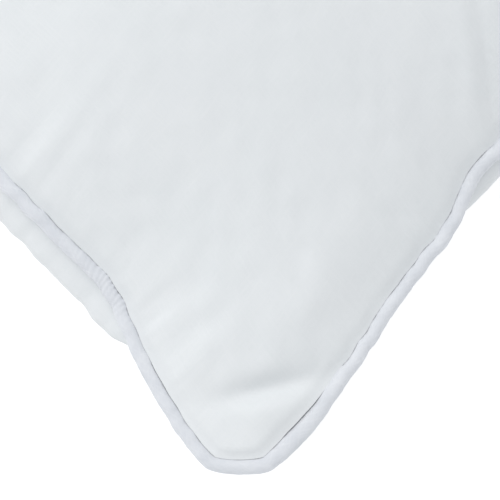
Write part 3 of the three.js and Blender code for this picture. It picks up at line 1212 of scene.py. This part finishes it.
@dataclass
class Stitching:
    """The lockstitch of the seam, the overlock on its raw edges and the closing stitch."""

    seam: SeamLine
    radius: float = 0.25 * MM
    inset: float = 4 * MM
    stack: float = 1.35 * MM
    stitch: float = 3.0 * MM
    overlock_front: float = 6 * MM
    overlock_back: float = 10.6 * MM
    overlock_pitch: float = 3.2 * MM
    overlock_half: float = 1.75 * MM
    overlock_power: float = 0.35
    closing_step: float = 4 * MM
    closing_start: float = 0.022
    closing_length: float = 0.170
    rung_middle: float = 0.35 * MM
    rung_reach: float = 0.9 * MM
    rung_rise: float = 2.15 * MM
    rung_arch: float = 0.35 * MM
    hole_width: float = 0.09
    lock_steps: int = 8
    coil_steps: int = 14
    rung_steps: int = 10
    sides: int = 6

    def build(self) -> dict[str, bpy.types.Object]:
        """Build the four threads.

        Returns:
            The threads, by the name of the frame's node that each stands for.
        """
        return {
            "needle_thread": self._lock("seam_thread_upper", Side.TOP),
            "bobbin_thread": self._lock("seam_thread_lower", Side.BOTTOM),
            "overlock_thread": self._overlock(),
            "closing_thread": self._closing(),
        }

    def _lock(self, name: str, side: Side) -> bpy.types.Object:
        """One thread of the lockstitch: it lies on the allowance and dips at each hole.

        Its height is the stack's, less a deep bell at every stitch's end.

        Args:
            name: The thread's name.
            side: Whether it lies above or below.

        Returns:
            The thread as a closed ring of tube.
        """
        stitches = round(self.seam.total / self.stitch)
        count = np.arange(stitches * self.lock_steps)
        along = count / len(count) * self.seam.total
        phase = (count % self.lock_steps) / self.lock_steps
        hole = bell(np.minimum(phase, 1 - phase), self.hole_width)
        rise = side.value * (self.stack + self.radius - hole * self.stack)
        path = self.seam.beside(along, -self.inset, rise)
        return self._ring(name, path)

    def _overlock(self) -> bpy.types.Object:
        """The overlock: a coil whose turns are rounded oblongs about the raw edges.

        Each turn's cosine and sine are raised to a small power, which squares it off.
        """
        turns = round(self.seam.total / self.overlock_pitch)
        count = np.arange(turns * self.coil_steps)
        along = count / len(count) * self.seam.total
        turn = TAU * count / self.coil_steps
        cos, sin = np.cos(turn), np.sin(turn)
        cos = np.sign(cos) * np.abs(cos) ** self.overlock_power
        sin = np.sign(sin) * np.abs(sin) ** self.overlock_power
        middle = (self.overlock_front + self.overlock_back) / 2
        half = (self.overlock_back - self.overlock_front) / 2
        path = self.seam.beside(along, -middle + half * cos, self.overlock_half * sin)
        return self._ring("overlock_coil", path)

    def _closing(self) -> bpy.types.Object:
        """The ladder stitch that closes the opening, in the ditch above the piping.

        Its rungs cross the ditch from the panel to the piping and back, by a sine
        pushed flat at its crests, and it rises a little over each rung.
        """
        rungs = round(self.closing_length / self.closing_step)
        along = np.linspace(0, self.closing_length, rungs * self.rung_steps + 1)
        wave = np.sin(TAU * along / (2 * self.closing_step))
        across = self.rung_middle + self.rung_reach * np.tanh(2.5 * wave)
        rise = self.rung_rise + self.rung_arch * (1 - wave**2)
        path = self.seam.beside(self.seam.total - self.closing_start - along, across, rise)
        tangent = unit(np.gradient(path, axis=0))
        side = unit(np.cross(tangent, UP))
        points = closed_tube(path, side, np.cross(side, tangent), self.radius, self.sides)
        index = np.arange(len(points)).reshape(len(path), self.sides)
        faces = grid_faces(np.concatenate([index, index[:, :1]], 1))
        caps = np.stack([index[0, [0, 1, 2, 3]], index[0, [0, 3, 4, 5]],
                         index[-1, [3, 2, 1, 0]], index[-1, [5, 4, 3, 0]]])
        return make_mesh("closing_ladder_stitch", points, np.concatenate([faces, caps]))

    def _ring(self, name: str, path: Array) -> bpy.types.Object:
        """A closed loop of thread along a path."""
        tangent = unit(np.roll(path, -1, 0) - np.roll(path, 1, 0))
        _, out = self.seam.at(np.linspace(0, self.seam.total, len(path), endpoint=False))
        side = unit(np.cross(tangent, np.cross(out, tangent)))
        points = closed_tube(path, side, np.cross(tangent, side), self.radius, self.sides)
        return make_mesh(name, points, tube_faces(len(path), self.sides))

    def dress(self, threads: dict[str, bpy.types.Object]) -> None:
        """Give the threads their finish, body and places in the frame."""
        material = SEWING_THREAD.material()
        for node, thread in threads.items():
            settle(thread, material, node)


# ---- The fill ----------------------------------------------------------------------------------------


@dataclass
class Fill:
    """The body of down: the casing's own inside, drawn in from its seam and lumpy."""

    casing: Casing
    edge: float = 14.5 * MM
    clear: float = 1.4 * MM
    lump: float = 1.0 * MM
    cell: float = 6 * MM
    wall_rows: int = 4
    wall_bulge: float = 1.5 * MM

    def __post_init__(self) -> None:
        """Leave out the swelling of the lower panel past the seam, which stays hollow."""
        self.casing = replace(
            self.casing,
            front_bulge=replace(self.casing.front_bulge, size=0.0),
            right_bulge=replace(self.casing.right_bulge, size=0.0),
        )

    def build(self, moved: dict[Side, Array]) -> bpy.types.Object:
        """Build the fill inside the finished panels.

        The top and bottom are the panels' surfaces pushed in along their normals, and
        the wall between their rims bulges by a sine.

        Args:
            moved: The cloth's moves on each panel.

        Returns:
            The fill, one closed body.
        """
        casing = self.casing
        u = self._steps(casing.flat_length)
        v = self._steps(casing.flat_width)
        sheets = {side: self._sheet(u, v, side, moved[side]) for side in Side}
        rows, columns = len(u), len(v)
        index = np.arange(rows * columns).reshape(rows, columns)
        rim = np.concatenate([index[:-1, 0], index[-1, :-1], index[:0:-1, -1], index[0, :0:-1]])
        above, below = sheets[Side.TOP][rim], sheets[Side.BOTTOM][rim]
        outward = unit(above * (1, 1, 0))
        share = np.linspace(0, 1, self.wall_rows + 2)[1:-1, None, None]
        bulge = self.wall_bulge * np.sin(math.pi * share)
        wall = (above + (below - above) * share + outward * bulge).reshape(-1, 3)
        points = np.concatenate([sheets[Side.TOP], sheets[Side.BOTTOM], wall])
        low = rows * columns
        bands = [rim] + [2 * low + len(rim) * k + np.arange(len(rim)) for k in range(self.wall_rows)]
        bands = np.stack(bands + [rim + low])
        bands = np.concatenate([bands, bands[:, :1]], 1)
        faces = [grid_faces(index), grid_faces(index + low, flip=True), grid_faces(bands)]
        return make_mesh("down_fill", points, np.concatenate(faces))

    def _steps(self, flat: float) -> Array:
        """Even steps across the fill, which stops short of the seam."""
        return np.linspace(-1, 1, round(flat / self.cell)) * (1 - 2 * self.edge / flat)

    def _sheet(self, u: Array, v: Array, side: Side, moved: Array) -> Array:
        """One face of the fill: the panel's surface, pushed in and lumpy.

        Args:
            u: The lines along the length.
            v: The lines along the width.
            side: Which face it is.
            moved: The cloth's moves on that panel.

        Returns:
            The face's points.
        """
        shape = self.casing.surface(u, v, side, moved)
        grid_u, grid_v = np.meshgrid(u, v, indexing="ij")
        waves = ripple(grid_u, 0.11, 1.0) * ripple(grid_v, 0.13, 2.0)
        depth = self.clear + self.lump * (0.5 + 0.5 * waves)
        return (shape - side.value * self.casing.normals(shape) * depth[..., None]).reshape(-1, 3)

    def dress(self, fill: bpy.types.Object) -> None:
        """Give the fill its finish, body and place in the frame."""
        settle(fill, DOWN.material(), "fill")


# ---- The care label --------------------------------------------------------------------------------


@dataclass
class CareLabel:
    """A blank ribbon folded in a loop, whose two ends are sewn in under the piping."""

    seam: SeamLine
    low: Vector
    high: Vector
    tail: float = 9 * MM
    ribbon: float = 0.3 * MM
    gap: float = 0.7 * MM
    set_in: float = 0.45 * MM
    sewn_below: float = 1.9 * MM
    curl: float = 0.8 * MM
    wave: float = 0.5 * MM
    steps_down: int = 44
    steps_across: int = 25
    blend_length: float = 7 * MM

    def __post_init__(self) -> None:
        """Work out the hinge line and the way the loop hangs from the frame's box."""
        self.width = self.high.y - self.low.y
        self.hinge_x = self.high.x - self.set_in
        out = self.high.x - self.low.x - 2 * self.set_in
        self.lean = math.atan2(out, self.high.z - self.low.z)
        self.length = (self.high.z - self.low.z) / math.cos(self.lean)

    def build(self) -> bpy.types.Object:
        """Build the loop of ribbon.

        Its side view is a line: in from the seam, over the hinge line, down one layer,
        round the fold and up the other. The layers swell apart by a sine of the way down.

        Returns:
            The folded ribbon, with its thickness.
        """
        down = np.linspace(0, 1, self.steps_down)
        layer = self.gap / 2 * (1 + 1.1 * np.sin(math.pi * down) ** 2)
        radius = layer[-1]
        drop = down * (self.length - radius)
        turn = np.linspace(0, math.pi, 9)[1:-1]
        side = np.concatenate([layer, radius * np.cos(turn), -layer[::-1]])
        below = np.concatenate([drop, drop[-1] + radius * np.sin(turn), drop[::-1]])
        across = np.linspace(-0.5, 0.5, self.steps_across) * self.width
        curl = self.curl * (2 * across / self.width) ** 2
        wave = self.wave * np.sin(TAU * across / (self.width * 1.3) + 0.6)
        swing = (below / self.length)[:, None] ** 2 * (curl + wave)[None]
        out = side[:, None] + swing
        sin, cos = math.sin(self.lean), math.cos(self.lean)
        hinge_z = self.high.z
        x = self.hinge_x - out * cos - below[:, None] * sin
        z = hinge_z - below[:, None] * cos + out * sin
        y = np.broadcast_to(across[None], x.shape)
        loop = np.stack([x, y, z], -1)
        tails = self._tail(loop[0], self.ribbon), self._tail(loop[-1], -self.ribbon)[::-1]
        loop = np.concatenate([tails[0], loop, tails[1]])
        rows, columns = loop.shape[:2]
        steps = np.linalg.norm(np.diff(loop[:, columns // 2], axis=0), axis=-1)
        run = np.concatenate([[0], np.cumsum(steps)])
        uv = np.stack(np.broadcast_arrays(across[None] + self.width / 2, run[:, None]), -1)
        faces = grid_faces(np.arange(rows * columns).reshape(rows, columns))
        label = make_mesh("care_label_ribbon", loop.reshape(-1, 3), faces, uv.reshape(-1, 2))
        thicken(label, self.ribbon, 0)
        self.flat = (float(run[-1]), self.width)
        return label

    def _tail(self, start: Array, up: float) -> Array:
        """One end of the ribbon, from inside the seam to the hinge line.

        Args:
            start: The row of points at the hinge line.
            up: How far above its middle this end lies in the seam.

        Returns:
            The tail's rows, from the inner end outwards.
        """
        share = np.linspace(0, 1, 9)[:-1, None, None]
        seam_points, _ = self.seam.at(self._around(start[:, 1]))
        inner = seam_points + (self.tail, 0, up - self.sewn_below)
        eased = smoothstep(share)
        level = inner + (start - inner) * share * (1, 1, 0)
        return level * (1, 1, 0) + UP * (inner[:, 2:] + (start[:, 2:] - inner[:, 2:]) * eased)

    def _around(self, y: Array) -> Array:
        """How far round the seam the left side's points are, from their y."""
        left = self.seam.distance > self.seam.total - 2 * self.seam.half_width
        places, distances = self.seam.points[left, 1], self.seam.distance[left]
        return np.interp(y, places[::-1], distances[::-1])

    def dress(self, label: bpy.types.Object) -> None:
        """Give the ribbon its finish, stand it for the frame's label and bake its place into its points.
        """
        label.data.materials.append(RIBBON.material())
        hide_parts("care_label")
        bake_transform(label)


# ---- The studio --------------------------------------------------------------------------------------


@dataclass
class Studio:
    """A pale floor, soft light from the left and above, and a camera over one corner."""

    seam: SeamLine
    azimuth: float = 45.0
    elevation: float = 82.0
    lens: float = 200.0
    view_width: float = 0.192
    look_across: float = 4 * MM
    look_up: float = 80 * MM
    floor_reach: float = 6.0
    floor_drop: float = 0.5 * MM
    floor_glow: float = 0.5
    surround: float = 0.72

    def build(self) -> None:
        """Build the floor, the lights and the camera."""
        self._floor()
        self._world()
        self._lights()
        self._camera()
        bpy.context.scene.view_settings.view_transform = "Standard"

    def _floor(self) -> None:
        """A pale floor, far wider than the pillow, which glows a little."""
        signs = np.array([[-1, -1, 0], [1, -1, 0], [1, 1, 0], [-1, 1, 0]])
        corners = self.floor_reach * signs - self.floor_drop * UP
        floor = make_mesh("floor", corners, np.array([[0, 1, 2, 3]]))
        nodes = Nodes("pale_floor")
        nodes.shader.inputs["Base Color"].default_value = (0.7, 0.7, 0.7, 1)
        nodes.shader.inputs["Roughness"].default_value = 0.9
        nodes.shader.inputs["Emission Color"].default_value = (1, 1, 1, 1)
        nodes.shader.inputs["Emission Strength"].default_value = self.floor_glow
        floor.data.materials.append(nodes.material)

    def _world(self) -> None:
        """An even white surround."""
        world = bpy.data.worlds.new("surround")
        world.use_nodes = True
        background = world.node_tree.nodes["Background"]
        background.inputs["Color"].default_value = (0.96, 0.98, 1.0, 1)
        background.inputs["Strength"].default_value = self.surround
        bpy.context.scene.world = world

    def _lights(self) -> None:
        """A large soft key from the left end, and a second soft light from above."""
        self._area("key", (-1.4, -0.1, 1.9), 1.6, 16.0)
        self._area("fill", (-0.4, -0.4, 2.4), 1.8, 14.5)

    @staticmethod
    def _area(name: str, place: tuple[float, float, float], size: float, power: float) -> None:
        """One square area light aimed at the pillow.

        Args:
            name: The light's name.
            place: Where it stands.
            size: The length of its sides.
            power: Its power in watts.
        """
        light = bpy.data.lights.new(name, "AREA")
        light.size = size
        light.energy = power
        light.color = (1.0, 0.985, 0.97)
        obj = bpy.data.objects.new(name, light)
        obj.location = place
        obj.rotation_euler = (-Vector(place)).to_track_quat("-Z", "Y").to_euler()
        bpy.context.scene.collection.objects.link(obj)

    def _camera(self) -> None:
        """A long lens high over the front right corner, which points down the picture."""
        azimuth, elevation = math.radians(self.azimuth), math.radians(self.elevation)
        right = Vector((math.cos(azimuth), math.sin(azimuth), 0))
        inward = Vector((-math.sin(azimuth), math.cos(azimuth), 0))
        back = -inward * math.cos(elevation) + Vector((0, 0, math.sin(elevation)))
        tip = Vector(self.seam.place(np.array(1.0), np.array(-1.0)))
        target = tip + right * self.look_across + inward * self.look_up
        data = bpy.data.cameras.new("camera")
        data.lens = self.lens
        distance = self.view_width * self.lens / data.sensor_width
        camera = bpy.data.objects.new("camera", data)
        camera.location = target + back * distance
        camera.rotation_euler = (-back).to_track_quat("-Z", "Y").to_euler()
        data.clip_start = 0.01
        bpy.context.scene.collection.objects.link(camera)
        bpy.context.scene.camera = camera


# ---- The pillow ----------------------------------------------------------------------------------------


def report(piece: bpy.types.Object) -> None:
    """Log a piece's name and how many points it has."""
    LOG.info("%s: %d points", piece.name, len(piece.data.vertices))


def main() -> None:
    """Build the pillow around its frame, piece by piece."""
    logging.basicConfig(level=logging.INFO, format="%(message)s")
    panel_low, panel_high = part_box("top_panel")
    cover_low, cover_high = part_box("piping_cover")
    seam = SeamLine(panel_high.x, panel_high.y, (cover_low.z + cover_high.z) / 2)
    seam.trace()
    Studio(seam).build()
    casing = Casing(seam, panel_high.z - seam.height)
    moved = casing.inflate()
    panels = casing.build(moved)
    fill_maker = Fill(casing)
    fill = fill_maker.build(moved)
    piping = Piping(seam, (cover_high.z - cover_low.z) / 2)
    cover, cord = piping.build()
    stitching = Stitching(seam)
    threads = stitching.build()
    label_maker = CareLabel(seam, *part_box("care_label"))
    label = label_maker.build()
    for piece in (*panels.values(), fill, cover, cord, *threads.values(), label):
        report(piece)
    casing.dress(panels)
    fill_maker.dress(fill)
    piping.dress(cover, cord)
    stitching.dress(threads)
    label_maker.dress(label)
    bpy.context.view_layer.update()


if __name__ == "__main__":
    main()
